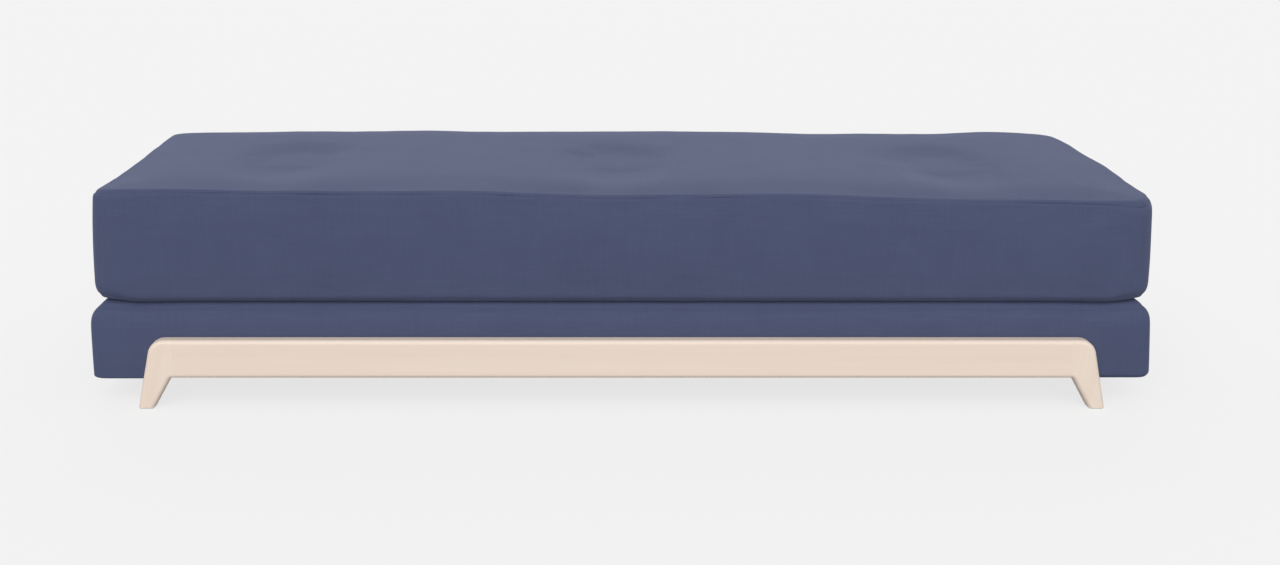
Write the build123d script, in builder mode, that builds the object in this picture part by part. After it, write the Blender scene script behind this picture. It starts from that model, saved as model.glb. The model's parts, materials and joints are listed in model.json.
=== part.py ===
from build123d import *
import math
import os

# A sofa bed. A thick mattress lies on an upholstered base that stands on two wooden leg frames.
# The mattress folds out over the base's front edge on a fabric flap, and then lies on the floor
# in front, with its top level with the base.
# Lengths are millimetres. +Z is up, the front faces -Y, and the origin is on the floor under
# the middle of the object.

os.makedirs("parts", exist_ok=True)

# Overall sizes
length = 2070
depth = 820
base_bottom = 57
base_top = 208
mattress_thickness = 203
mattress_crown = 4

# Clearances
fit = 0.3
hole_play = 0.1
leg_gap = 0.1
overrun = 10

# Wooden leg frames
rail_thickness = 27
rail_height = 76
rail_bottom = 62
leg_end_margin = 94
foot_width = 31
foot_spread = 34
leg_splay_deg = 11.8
shoulder_radius = 32
inner_corner_radius = 6
front_round = 8
back_bevel = 1

# Loose tenons in the joints of the leg frames
tenon_length = 40
tenon_height = 36
tenon_thickness = 8

# Glides under the feet
glide_height = 2
glide_margin = 3

# Base upholstery
cover_thickness = 2
wadding_thickness = 10
base_corner_radius = 28
base_edge_round = 24
base_foot_bevel = 3
cavity_bevel_share = 0.72
base_seam_drop = 9
return_width = 45
dust_cover_thickness = 1
dust_cover_lap = 15

# Box frame
board_thickness = 18
board_height = 100
beam_width = 20
beam_height = 48
beam_place_share = 0.34
block_leg = 50
block_drop = 40

# Slats and what carries them
ledge_width = 25
ledge_height = 20
holder_wall = 3
holder_depth = 36
holder_play = 3
slat_count = 14
slat_width = 63
slat_thickness = 8
felt_thickness = 3

# Coach screws that hold the leg frames to the box, through slits in the upholstery
screw_radius = 4
screw_head_width = 13
screw_head_height = 5.5
screw_grip = 18
screw_place_shares = (-0.8, 0.8)
slit_width = 12

# Mattress cover
mattress_corner_radius = 40
side_draw_in = 5
flare_run = 150
mattress_foot_round = 24
mattress_edge_round = 10
seam_drop = 3
crown_edge_in = 18
crown_first_in = 60
crown_last_in = 150
crown_first_share = 0.7
panel_fold_in = 120

# Mattress filling
comfort_thickness = 30
lower_thickness = 20

# Tufts: a soft dish in the top, held down by a flat tape between two toggles
tuft_count = 3
tuft_radius = 150
tuft_depth = 16
dish_sides = 32
dish_wall_share = 0.62
tuft_tape_width = 8
tuft_tape_thickness = 1.5
toggle_length = 34
toggle_width = 12
toggle_thickness = 4

# Fold flap, a little behind the line on which the mattress turns
flap_thickness = 1.6
flap_width = 76
flap_end_margin = 60
flap_behind_fold = 10

# Zip at the rear of the mattress cover
zip_height = 46
zip_end_margin = 25
tape_width = 20
tape_thickness = 1
coil_width = 3
coil_proud = 1.5
slider_length = 11
slider_width = 9
slider_thickness = 4
slider_bevel = 1.2
slider_end_margin = 20
arch_length = 8
arch_width = 2
arch_rod = 1.2
arch_room = 2.4
pull_length = 26
pull_thickness = 1.2
pull_arm = 1.4
pull_window = 6
pull_bevel = 1.5

# Places worked out from the sizes
half_length = length / 2
half_depth = depth / 2
rail_top = rail_bottom + rail_height
leg_back = half_depth + leg_gap
rail_mid_y = -leg_back - rail_thickness / 2
foot_outer = half_length - leg_end_margin
foot_inner = foot_outer - foot_width
rail_half = foot_inner - foot_spread
shoulder_x = foot_outer - (rail_top - glide_height) * math.tan(math.radians(leg_splay_deg))
foot_mid_x = (foot_inner + foot_outer) / 2
joint_x = rail_half - inner_corner_radius

upholstery = cover_thickness + wadding_thickness
box_half_x = half_length - upholstery
box_half_y = half_depth - upholstery
box_inner_x = box_half_x - board_thickness
box_inner_y = box_half_y - board_thickness
board_bottom = base_bottom + cover_thickness
board_top = board_bottom + board_height
board_mid_z = (board_bottom + board_top) / 2
beam_x = box_inner_x * beam_place_share
block_height = board_height - block_drop

holder_height = 2 * holder_wall + slat_thickness + holder_play
ledge_half = box_inner_x - block_leg
ledge_top = board_top - fit - holder_height - holder_wall
slat_end_z = ledge_top + holder_wall + fit
slat_camber = board_top - fit - slat_thickness - slat_end_z
slat_half = box_inner_y - holder_wall - fit
slat_pitch = (2 * ledge_half - slat_width - 2 * holder_wall) / (slat_count - 1)

base_form_top = base_top - fit
felt_top = board_top + felt_thickness
base_seam = base_form_top - base_seam_drop

screw_z = rail_bottom + rail_height / 2
screw_places = [(rail_half * share, screw_z) for share in screw_place_shares]
screw_length = board_thickness + upholstery + leg_gap + screw_grip

mattress_bottom = base_top
edge_top = mattress_bottom + mattress_thickness
mattress_top = edge_top + mattress_crown
lower_seam = mattress_bottom + seam_drop
upper_seam = edge_top - seam_drop
filling_skin = cover_thickness + fit
core_bottom = mattress_bottom + filling_skin + lower_thickness
core_top = edge_top - filling_skin - comfort_thickness

tuft_pitch = length / tuft_count
tuft_xs = [tuft_pitch * (index - (tuft_count - 1) / 2) for index in range(tuft_count)]
tuft_floor = mattress_top - tuft_depth
toggle_low = mattress_bottom + filling_skin
toggle_high = tuft_floor - filling_skin - toggle_thickness

flap_half = half_length - flap_end_margin
fold_y = -half_depth + mattress_foot_round
flap_front = fold_y + flap_behind_fold
flap_back = flap_front + flap_width
flap_top = base_top - fit
flap_bottom = flap_top - flap_thickness
recess_floor = flap_bottom - fit

zip_z = mattress_bottom + zip_height
zip_face = half_depth - side_draw_in
zip_half = half_length - mattress_corner_radius - flare_run - zip_end_margin
tape_back = zip_face - tape_thickness - hole_play
tape_face = tape_back + tape_thickness
slider_x = -zip_half + slider_end_margin
slider_back = tape_face + fit
slider_face = slider_back + slider_thickness
pull_axis_y = slider_face + arch_room / 2


def save(piece, name):
    """Name a finished piece and write it."""
    piece.part.label = name
    export_step(piece.part, f"parts/{name}.step")


# Wooden leg frames: a rail with a splayed leg at each end, cut from one outline

def leg_frame():
    """The front leg frame in one piece, before it is cut at its glued joints."""
    right = [
        (shoulder_x, rail_top),
        (foot_outer, glide_height),
        (foot_inner, glide_height),
        (rail_half, rail_bottom),
    ]
    left = [(-x, z) for x, z in reversed(right)]
    with BuildPart() as frame:
        with BuildSketch(Plane.XZ.offset(leg_back)) as outline:
            with BuildLine():
                Polyline(*right, *left, close=True)
            make_face()
            fillet(outline.vertices().group_by(Axis.Y)[1], radius=inner_corner_radius)
            fillet(outline.vertices().group_by(Axis.Y)[-1], radius=shoulder_radius)
        extrude(amount=rail_thickness)
        front_edges = frame.faces().sort_by(Axis.Y)[0].edges()
        fillet(front_edges - front_edges.group_by(Axis.Z)[0], radius=front_round)
        back_edges = frame.faces().sort_by(Axis.Y)[-1].edges()
        chamfer(back_edges - back_edges.group_by(Axis.Z)[0], length=back_bevel)
    return frame.part


def tenons(play):
    """The loose tenons on both joints of the front leg frame, with play round them."""
    with BuildPart() as pair:
        with BuildSketch(Plane.XZ.offset(leg_back + rail_thickness / 2)):
            with Locations((-joint_x, screw_z), (joint_x, screw_z)):
                Rectangle(tenon_length + 2 * play, tenon_height + 2 * play)
        extrude(amount=tenon_thickness / 2 + play, both=True)
    return pair.part


leg_frame_blank = leg_frame()
tenon_slots = tenons(hole_play)

with BuildPart() as front_rail:
    add(leg_frame_blank)
    split(bisect_by=Plane.YZ.offset(joint_x), keep=Keep.BOTTOM)
    split(bisect_by=Plane.YZ.offset(-joint_x), keep=Keep.TOP)
    add(tenon_slots, mode=Mode.SUBTRACT)
    with BuildSketch(Plane.XZ.offset(leg_back)):
        with Locations(*screw_places):
            Circle(screw_radius + hole_play)
    extrude(amount=screw_grip + fit, mode=Mode.SUBTRACT)
save(front_rail, "front_rail")

with BuildPart() as rear_rail:
    mirror(front_rail.part, about=Plane.XZ)
save(rear_rail, "rear_rail")

with BuildPart() as front_legs:
    add(leg_frame_blank)
    split(bisect_by=Plane.YZ.offset(joint_x), keep=Keep.TOP)
    add(tenon_slots, mode=Mode.SUBTRACT)
    mirror(about=Plane.YZ)
save(front_legs, "front_legs")

with BuildPart() as rear_legs:
    mirror(front_legs.part, about=Plane.XZ)
save(rear_legs, "rear_legs")

with BuildPart() as joint_tenons:
    add(tenons(0))
    mirror(about=Plane.XZ)
save(joint_tenons, "joint_tenons")

with BuildPart() as leg_glides:
    with BuildSketch(Plane.XY):
        with Locations((foot_mid_x, rail_mid_y)):
            Rectangle(foot_width - 2 * glide_margin, rail_thickness - 2 * glide_margin)
        mirror(about=Plane.YZ)
        mirror(about=Plane.XZ)
    extrude(amount=glide_height)
save(leg_glides, "leg_glides")


# Box frame inside the base: four boards, two cross beams, and blocks in the corners

with BuildPart() as front_board:
    with BuildSketch(Plane.XZ.offset(box_half_y)):
        with Locations((0, board_mid_z)):
            Rectangle(2 * box_half_x, board_height)
        with Locations(*screw_places):
            Circle(screw_radius + hole_play, mode=Mode.SUBTRACT)
    extrude(amount=-board_thickness)
save(front_board, "front_board")

with BuildPart() as rear_board:
    mirror(front_board.part, about=Plane.XZ)
save(rear_board, "rear_board")

with BuildPart() as left_board:
    with BuildSketch(Plane.YZ.offset(-box_half_x)):
        with Locations((0, board_mid_z)):
            Rectangle(2 * box_inner_y, board_height)
    extrude(amount=board_thickness)
save(left_board, "left_board")

with BuildPart() as right_board:
    mirror(left_board.part, about=Plane.YZ)
save(right_board, "right_board")

with BuildPart() as cross_beams:
    with BuildSketch(Plane.XY.offset(board_bottom)):
        with Locations((-beam_x, 0), (beam_x, 0)):
            Rectangle(beam_width, 2 * box_inner_y)
    extrude(amount=beam_height)
save(cross_beams, "cross_beams")

with BuildPart() as corner_blocks:
    with BuildSketch(Plane.XY.offset(board_bottom)):
        with BuildLine():
            Polyline(
                (box_inner_x, box_inner_y),
                (box_inner_x - block_leg, box_inner_y),
                (box_inner_x, box_inner_y - block_leg),
                close=True,
            )
        make_face()
        mirror(about=Plane.YZ)
        mirror(about=Plane.XZ)
    extrude(amount=block_height)
save(corner_blocks, "corner_blocks")


# Slats: bowed, held at each end in a plastic cap on a ledge

slat_xs = [slat_pitch * (index - (slat_count - 1) / 2) for index in range(slat_count)]
holder_mid_y = box_inner_y - holder_depth / 2

with BuildPart() as slat_ledges:
    with BuildSketch(Plane.XY.offset(ledge_top)):
        with Locations((0, -box_inner_y + ledge_width / 2)):
            Rectangle(2 * ledge_half, ledge_width)
        mirror(about=Plane.XZ)
    extrude(amount=-ledge_height)
save(slat_ledges, "slat_ledges")

with BuildPart() as slats:
    with BuildSketch(Plane.YZ.offset(-slat_width / 2)):
        with BuildLine():
            ThreePointArc((-slat_half, slat_end_z), (0, slat_end_z + slat_camber), (slat_half, slat_end_z))
            Line((slat_half, slat_end_z), (slat_half, slat_end_z + slat_thickness))
            ThreePointArc(
                (slat_half, slat_end_z + slat_thickness),
                (0, slat_end_z + slat_thickness + slat_camber),
                (-slat_half, slat_end_z + slat_thickness),
            )
            Line((-slat_half, slat_end_z + slat_thickness), (-slat_half, slat_end_z))
        make_face()
    one_slat = extrude(amount=slat_width, mode=Mode.PRIVATE)
    with Locations(*[(x, 0, 0) for x in slat_xs]):
        add(one_slat)
save(slats, "slats")

with BuildPart() as slat_holders:
    with BuildSketch(Plane.XY.offset(ledge_top)):
        with Locations(*[(x, -holder_mid_y) for x in slat_xs]):
            Rectangle(slat_width + 2 * holder_wall, holder_depth)
    extrude(amount=holder_height)
    with BuildSketch(Plane.XY.offset(ledge_top + holder_wall)):
        with Locations(*[(x, -holder_mid_y + holder_wall) for x in slat_xs]):
            Rectangle(slat_width + 2 * fit, holder_depth)
    extrude(amount=slat_thickness + holder_play, mode=Mode.SUBTRACT)
    mirror(about=Plane.XZ)
save(slat_holders, "slat_holders")

with BuildPart() as slat_felt:
    with BuildSketch(Plane.XY.offset(board_top)):
        Rectangle(2 * box_half_x, 2 * box_half_y)
    extrude(amount=felt_thickness)
save(slat_felt, "slat_felt")


# Upholstery of the base: one rounded form, drawn in by the thickness of what lies over it

def soften(edges, radius, skin):
    """Round the outer edges of the upholstery, and bevel those of the cavities inside it."""
    if skin:
        chamfer(edges, length=(radius - skin) * cavity_bevel_share)
    else:
        fillet(edges, radius=radius)


def base_form(skin):
    """The base's shape inside a skin: soft at the upper edges, with the flap's recess in front."""
    with BuildPart() as form:
        with BuildSketch(Plane.XY.offset(base_bottom + skin)):
            RectangleRounded(length - 2 * skin, depth - 2 * skin, base_corner_radius - skin)
        extrude(amount=base_form_top - base_bottom - 2 * skin)
        soften(form.edges().group_by(Axis.Z)[-1], base_edge_round, skin)
        if not skin:
            chamfer(form.edges().group_by(Axis.Z)[0], length=base_foot_bevel)
        recess_back = flap_back + fit + skin
        with BuildSketch(Plane.XY.offset(recess_floor - skin)):
            with Locations((0, (recess_back - half_depth) / 2)):
                Rectangle(2 * (flap_half + fit + skin), recess_back + half_depth)
        extrude(amount=overrun, mode=Mode.SUBTRACT)
    return form.part


def slits():
    """Bars through the upholstery of the base where the coach screws pass."""
    with BuildPart() as bars:
        with BuildSketch(Plane.XZ):
            with Locations(*screw_places):
                Rectangle(slit_width, slit_width)
        extrude(amount=half_depth + overrun, both=True)
    return bars.part


base_outer = base_form(0)
base_inner = base_form(cover_thickness)
base_filling = base_form(filling_skin)
slit_cutter = slits()

with BuildPart() as base_foam:
    add(base_filling)
    split(bisect_by=Plane.XY.offset(felt_top), keep=Keep.TOP)
save(base_foam, "base_foam")

with BuildPart() as side_wadding:
    add(base_filling)
    split(bisect_by=Plane.XY.offset(felt_top), keep=Keep.BOTTOM)
    with BuildSketch(Plane.XY.offset(base_bottom)):
        Rectangle(2 * (box_half_x + hole_play), 2 * (box_half_y + hole_play))
    extrude(amount=base_top - base_bottom, mode=Mode.SUBTRACT)
    add(slit_cutter, mode=Mode.SUBTRACT)
save(side_wadding, "side_wadding")

with BuildPart() as base_top_panel:
    add(base_outer)
    add(base_inner, mode=Mode.SUBTRACT)
    split(bisect_by=Plane.XY.offset(base_seam), keep=Keep.TOP)
save(base_top_panel, "base_top_panel")

with BuildPart() as base_border:
    add(base_outer)
    add(base_inner, mode=Mode.SUBTRACT)
    split(bisect_by=Plane.XY.offset(base_seam), keep=Keep.BOTTOM)
    with BuildSketch(Plane.XY.offset(base_bottom)):
        Rectangle(length - 2 * return_width, depth - 2 * return_width)
    extrude(amount=cover_thickness, mode=Mode.SUBTRACT)
    add(slit_cutter, mode=Mode.SUBTRACT)
save(base_border, "base_border")

with BuildPart() as dust_cover:
    with BuildSketch(Plane.XY.offset(base_bottom - dust_cover_thickness)):
        RectangleRounded(
            length - 2 * (return_width - dust_cover_lap),
            depth - 2 * (return_width - dust_cover_lap),
            base_corner_radius,
        )
    extrude(amount=dust_cover_thickness)
save(dust_cover, "dust_cover")


# Coach screws from inside the box into the rails

with BuildPart() as coach_screws:
    with BuildSketch(Plane.XZ.offset(box_inner_y)):
        with Locations(*screw_places):
            Circle(screw_radius)
    extrude(amount=screw_length)
    with BuildSketch(Plane.XZ.offset(box_inner_y)):
        with Locations(*screw_places):
            RegularPolygon(screw_head_width / 2, 6, major_radius=False)
    extrude(amount=-screw_head_height)
    mirror(about=Plane.XZ)
save(coach_screws, "coach_screws")


# Fold flap: the fabric strip between the mattress and the base, which draws out as the bed opens

with BuildPart() as fold_flap:
    with BuildSketch(Plane.XY.offset(flap_bottom)):
        with Locations((0, (flap_front + flap_back) / 2)):
            Rectangle(2 * flap_half, flap_width)
    extrude(amount=flap_thickness)
save(fold_flap, "fold_flap")


# Mattress: crowned on top, with sides that draw in between the corners, and sewn tufts

def dishes(skin):
    """Flat-floored dishes with sloping walls, in place over the top of the mattress."""
    with BuildPart() as cutters:
        with BuildSketch(Plane.XY.offset(tuft_floor - skin)):
            with Locations(*[(x, 0) for x in tuft_xs]):
                RegularPolygon(tuft_radius + skin, dish_sides)
        extrude(amount=tuft_depth + overrun)
        for floor in cutters.faces().group_by(Axis.Z)[0]:
            chamfer(floor.edges(), tuft_radius * dish_wall_share, tuft_depth, reference=floor)
    return cutters.part


def mattress_form(skin):
    """The mattress's shape inside a skin, with the dishes of its tufts."""
    side_x = half_length - side_draw_in - skin
    side_y = half_depth - side_draw_in - skin
    corner_x = half_length - mattress_corner_radius
    corner_y = half_depth - mattress_corner_radius
    flat_x = corner_x - flare_run
    flat_y = corner_y - flare_run
    crown_levels = (
        (edge_top - skin, crown_edge_in + skin),
        (edge_top - skin + mattress_crown * crown_first_share, crown_first_in),
        (mattress_top - skin, crown_last_in),
    )
    with BuildPart() as form:
        with BuildSketch(Plane.XY.offset(mattress_bottom + skin)):
            with BuildLine():
                flare = TangentArc((flat_x, side_y), (corner_x, half_depth - skin), tangent=(1, 0))
                TangentArc(flare @ 1, (half_length - skin, corner_y), tangent=flare % 1)
                TangentArc((side_x, flat_y), (half_length - skin, corner_y), tangent=(0, 1))
                mirror(about=Plane.YZ)
                mirror(about=Plane.XZ)
                for side in (-1, 1):
                    Line((-flat_x, side * side_y), (flat_x, side * side_y))
                    Line((side * side_x, -flat_y), (side * side_x, flat_y))
            make_face()
        extrude(amount=mattress_thickness - 2 * skin)
        soften(form.edges().group_by(Axis.Z)[0], mattress_foot_round, skin)
        soften(form.edges().group_by(Axis.Z)[-1], mattress_edge_round, skin)
        for height, inset in crown_levels[::2] if skin else crown_levels:
            with BuildSketch(Plane.XY.offset(height)):
                RectangleRounded(length - 2 * inset, depth - 2 * inset, mattress_corner_radius)
        loft(ruled=True)
        add(dishes(skin), mode=Mode.SUBTRACT)
    return form.part


def tuft_holes():
    """The slits for the tuft tapes through the filling, with the seats of their toggles."""
    with BuildPart() as holes:
        with BuildSketch(Plane.XY.offset(mattress_bottom)):
            with Locations(*[(x, 0) for x in tuft_xs]):
                Rectangle(tuft_tape_width + 2 * fit, tuft_tape_thickness + 2 * fit)
        extrude(amount=mattress_thickness)
        with BuildSketch(Plane.XY.offset(mattress_bottom)):
            with Locations(*[(x, 0) for x in tuft_xs]):
                Rectangle(toggle_length + 2 * fit, toggle_width + 2 * fit)
        extrude(amount=toggle_low + toggle_thickness + fit - mattress_bottom)
        with BuildSketch(Plane.XY.offset(toggle_high - fit)):
            with Locations(*[(x, 0) for x in tuft_xs]):
                Rectangle(toggle_length + 2 * fit, toggle_width + 2 * fit)
        extrude(amount=tuft_depth)
    return holes.part


mattress_outer = mattress_form(0)
mattress_inner = mattress_form(cover_thickness)
mattress_filling = mattress_form(filling_skin)
tuft_cutter = tuft_holes()

with BuildPart() as mattress_top_panel:
    add(mattress_outer)
    add(mattress_inner, mode=Mode.SUBTRACT)
    split(bisect_by=Plane.XY.offset(core_top), keep=Keep.TOP)
    with BuildSketch(Plane.XY.offset(core_top)):
        Rectangle(length + overrun, depth + overrun)
        Rectangle(length - 2 * panel_fold_in, depth - 2 * panel_fold_in, mode=Mode.SUBTRACT)
    extrude(amount=upper_seam - core_top, mode=Mode.SUBTRACT)
save(mattress_top_panel, "mattress_top_panel")

with BuildPart() as mattress_border:
    add(mattress_outer)
    add(mattress_inner, mode=Mode.SUBTRACT)
    split(bisect_by=Plane.XY.offset(upper_seam), keep=Keep.BOTTOM)
    split(bisect_by=Plane.XY.offset(lower_seam), keep=Keep.TOP)
    with BuildSketch(Plane.XY.offset(core_top)):
        Rectangle(length - 2 * panel_fold_in, depth - 2 * panel_fold_in)
    extrude(amount=upper_seam - core_top, mode=Mode.SUBTRACT)
    with BuildSketch(Plane.XZ.offset(-tape_back)):
        with Locations((0, zip_z)):
            Rectangle(2 * (zip_half + fit), tape_width + 2 * fit)
    extrude(amount=-overrun, mode=Mode.SUBTRACT)
save(mattress_border, "mattress_border")

with BuildPart() as mattress_bottom_panel:
    add(mattress_outer)
    add(mattress_inner, mode=Mode.SUBTRACT)
    split(bisect_by=Plane.XY.offset(lower_seam), keep=Keep.BOTTOM)
save(mattress_bottom_panel, "mattress_bottom_panel")

with BuildPart() as comfort_layer:
    add(mattress_filling)
    split(bisect_by=Plane.XY.offset(core_top), keep=Keep.TOP)
    add(tuft_cutter, mode=Mode.SUBTRACT)
save(comfort_layer, "comfort_layer")

with BuildPart() as mattress_core:
    add(mattress_filling)
    split(bisect_by=Plane.XY.offset(core_top), keep=Keep.BOTTOM)
    split(bisect_by=Plane.XY.offset(core_bottom), keep=Keep.TOP)
    add(tuft_cutter, mode=Mode.SUBTRACT)
save(mattress_core, "mattress_core")

with BuildPart() as lower_layer:
    add(mattress_filling)
    split(bisect_by=Plane.XY.offset(core_bottom), keep=Keep.BOTTOM)
    add(tuft_cutter, mode=Mode.SUBTRACT)
save(lower_layer, "lower_layer")

with BuildPart() as tuft_toggles:
    for toggle_z in (toggle_low, toggle_high):
        with BuildSketch(Plane.XY.offset(toggle_z)):
            with Locations(*[(x, 0) for x in tuft_xs]):
                Rectangle(toggle_length, toggle_width)
        extrude(amount=toggle_thickness)
save(tuft_toggles, "tuft_toggles")

with BuildPart() as tuft_tapes:
    with BuildSketch(Plane.XY.offset(toggle_low + toggle_thickness)):
        with Locations(*[(x, 0) for x in tuft_xs]):
            Rectangle(tuft_tape_width, tuft_tape_thickness)
    extrude(amount=toggle_high - toggle_low - toggle_thickness)
save(tuft_tapes, "tuft_tapes")


# Zip at the rear: a tape with its closed coil, a slider over the coil, and the slider's pull

with BuildPart() as zip_tape:
    with BuildSketch(Plane.XZ.offset(-tape_back)):
        with Locations((0, zip_z)):
            Rectangle(2 * zip_half, tape_width)
    extrude(amount=-tape_thickness)
    with BuildSketch(Plane.XZ.offset(-tape_face)):
        with Locations((0, zip_z)):
            Rectangle(2 * zip_half, coil_width)
    extrude(amount=-coil_proud)
save(zip_tape, "zip_tape")

with BuildPart() as zip_slider:
    with BuildSketch(Plane.XZ.offset(-slider_back)) as slider_outline:
        with Locations((slider_x, zip_z)):
            Rectangle(slider_length, slider_width)
        chamfer(slider_outline.vertices(), length=slider_bevel)
    extrude(amount=-slider_thickness)
    with BuildSketch(Plane.XZ.offset(-slider_back)):
        with Locations((slider_x, zip_z)):
            Rectangle(slider_length + overrun, coil_width + 2 * fit)
    extrude(amount=-coil_proud, mode=Mode.SUBTRACT)
    with BuildSketch(Plane.XZ.offset(-slider_face)):
        with Locations((slider_x, zip_z)):
            Rectangle(arch_length, arch_width)
    extrude(amount=-arch_room - arch_rod)
    with BuildSketch(Plane.XZ.offset(-slider_face)):
        with Locations((slider_x, zip_z)):
            Rectangle(arch_length - 2 * arch_rod, arch_width + overrun)
    extrude(amount=-arch_room, mode=Mode.SUBTRACT)
save(zip_slider, "zip_slider")

with BuildPart() as zip_pull:
    with BuildSketch(Plane.XZ.offset(-pull_axis_y + pull_thickness / 2)) as pull_outline:
        with Locations((slider_x + pull_length / 2 - pull_thickness / 2, zip_z)):
            Rectangle(pull_length, arch_width + 2 * fit + 2 * pull_arm)
        chamfer(pull_outline.vertices().group_by(Axis.X)[-1], length=pull_bevel)
        with Locations((slider_x + pull_thickness / 2 + pull_window / 2, zip_z)):
            Rectangle(pull_window, arch_width + 2 * fit, mode=Mode.SUBTRACT)
    extrude(amount=-pull_thickness)
save(zip_pull, "zip_pull")
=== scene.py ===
"""The look of the sofa bed: padded mattress and base, pale wooden leg frames, fold flap and zip."""
import json
import math

import bpy
import numpy as np
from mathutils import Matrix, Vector, noise


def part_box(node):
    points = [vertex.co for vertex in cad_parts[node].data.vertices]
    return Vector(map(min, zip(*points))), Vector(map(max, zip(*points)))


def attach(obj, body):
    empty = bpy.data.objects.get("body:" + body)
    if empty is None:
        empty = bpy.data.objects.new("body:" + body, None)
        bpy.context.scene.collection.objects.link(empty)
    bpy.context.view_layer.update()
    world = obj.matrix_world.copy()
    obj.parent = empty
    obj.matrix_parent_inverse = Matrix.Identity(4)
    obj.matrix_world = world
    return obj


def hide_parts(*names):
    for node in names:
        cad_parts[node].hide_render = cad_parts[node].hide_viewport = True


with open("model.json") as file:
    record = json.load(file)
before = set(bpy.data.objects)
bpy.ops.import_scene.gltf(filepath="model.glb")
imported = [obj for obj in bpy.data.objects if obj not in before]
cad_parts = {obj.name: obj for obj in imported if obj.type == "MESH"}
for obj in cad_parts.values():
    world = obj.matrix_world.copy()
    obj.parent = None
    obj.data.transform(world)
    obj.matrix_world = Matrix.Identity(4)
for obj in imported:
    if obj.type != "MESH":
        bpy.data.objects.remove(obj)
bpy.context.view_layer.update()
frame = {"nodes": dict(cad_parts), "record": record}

MM = 0.001
TINY = 1e-6

# Camera, fitted to the photograph's corners and edges
CAMERA_PLACE = (-0.1165, -3.4647, 1.0124)
CAMERA_PITCH_DEG = 12.74
CAMERA_LENS = 45.88
CAMERA_SENSOR = 36
CAMERA_SHIFT = (0.0612, -0.0294)

# Light: an even sky, and two wide soft suns, each with its strength, height and turn in degrees
SKY_LEVEL = 0.42
BACKGROUND_LEVEL = 0.896
SUNS = {"front_sun": (2.15, 31, -6), "back_sun": (1.0, 20, 180)}
SUN_SPREAD_DEG = 60
FLOOR_HALF = 60
FLOOR_COLOUR = 0.16
FLOOR_BOUNCE = 0.4

# Colours, linear
FABRIC = (0.067, 0.080, 0.148)
FABRIC_LIGHT = (0.080, 0.096, 0.173)
FABRIC_SHEEN = (0.56, 0.62, 0.85)
WOOD_PALE = (0.84, 0.715, 0.61)
WOOD_DARK = (0.80, 0.665, 0.555)

# Cloth and wood: the size of a thread, and how fast each noise changes across and along it
THREAD_PITCH = 1.3 * MM
THREAD_DEPTH = 0.25 * MM
SLUB_ACROSS = 420
SLUB_ALONG = 14
MOTTLE = (9, 9, 9)
SPECKLE = (700, 700, 700)
RINGS = (0.9, 26, 34)
STREAKS = (5, 160, 210)
PORES = (60, 1500, 1500)
PORE_DEPTH = 0.1 * MM
LEG_SLOPE_DEG = 78


# Materials

def new_material(name):
    """A material with its Principled shader, and functions that add and link its nodes."""
    material = bpy.data.materials.new(name)
    material.use_nodes = True
    tree = material.node_tree
    shader = tree.nodes["Principled BSDF"]

    def add(kind, inputs=None, **settings):
        node = tree.nodes.new(kind)
        for key, value in settings.items():
            setattr(node, key, value)
        for key, value in (inputs or {}).items():
            if isinstance(value, bpy.types.NodeSocket):
                tree.links.new(value, node.inputs[key])
            else:
                node.inputs[key].default_value = value
        return node

    return material, shader, add, tree.links.new


def stretched(add, places, scale, detail=2.0):
    """Noise that is stretched by a scale for each axis, as a socket from 0 to 1."""
    mapped = add("ShaderNodeVectorMath", {0: places, 1: scale}, operation="MULTIPLY").outputs[0]
    pattern = add("ShaderNodeTexNoise", {"Vector": mapped, "Scale": 1.0, "Detail": detail})
    return pattern.outputs["Fac"]


def total(add, *terms):
    """The weighted sum of sockets, given as (socket, weight)."""
    result = 0.0
    for socket, weight in terms:
        inputs = {0: socket, 1: weight, 2: result}
        result = add("ShaderNodeMath", inputs, operation="MULTIPLY_ADD").outputs[0]
    return result


def between(add, low, high, factor):
    """A colour between two others."""
    mix = add("ShaderNodeMix", {0: factor}, data_type="RGBA")
    mix.inputs["A"].default_value = (*low, 1)
    mix.inputs["B"].default_value = (*high, 1)
    return mix.outputs["Result"]


def fabric(name, dark, light):
    """Woven melange cloth: threads along all three axes, slubs, and a soft unevenness of dye."""
    material, shader, add, link = new_material(name)
    places = add("ShaderNodeTexCoord").outputs["Object"]
    slubs = []
    threads = []
    for axis, label in enumerate("XYZ"):
        scale = [SLUB_ALONG] * 3
        scale[axis] = SLUB_ACROSS
        slubs.append(stretched(add, places, scale, 3.0))
        wave = add("ShaderNodeTexWave", {
            "Vector": places, "Scale": math.pi / 10 / THREAD_PITCH, "Distortion": 0.6,
            "Detail": 1.0, "Detail Scale": 0.5,
        }, bands_direction=label)
        threads.append((wave.outputs["Fac"], 0.6))
    mottle = stretched(add, places, MOTTLE, 3.0)
    speckle = stretched(add, places, SPECKLE, 1.0)
    tone = total(add, *[(slub, 0.55) for slub in slubs], (mottle, 0.45), (speckle, 0.5))
    spread = add("ShaderNodeMapRange", {"Value": tone, "From Min": 0.95, "From Max": 1.65})
    link(between(add, dark, light, spread.outputs[0]), shader.inputs["Base Color"])
    height = total(add, *threads, *[(slub, 0.7) for slub in slubs])
    bump = add("ShaderNodeBump", {"Height": height, "Distance": THREAD_DEPTH, "Strength": 0.6})
    link(bump.outputs[0], shader.inputs["Normal"])
    shader.inputs["Roughness"].default_value = 0.92
    shader.inputs["Specular IOR Level"].default_value = 0.1
    shader.inputs["Sheen Weight"].default_value = 0.19
    shader.inputs["Sheen Roughness"].default_value = 0.45
    shader.inputs["Sheen Tint"].default_value = (*FABRIC_SHEEN, 1)
    return material


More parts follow.
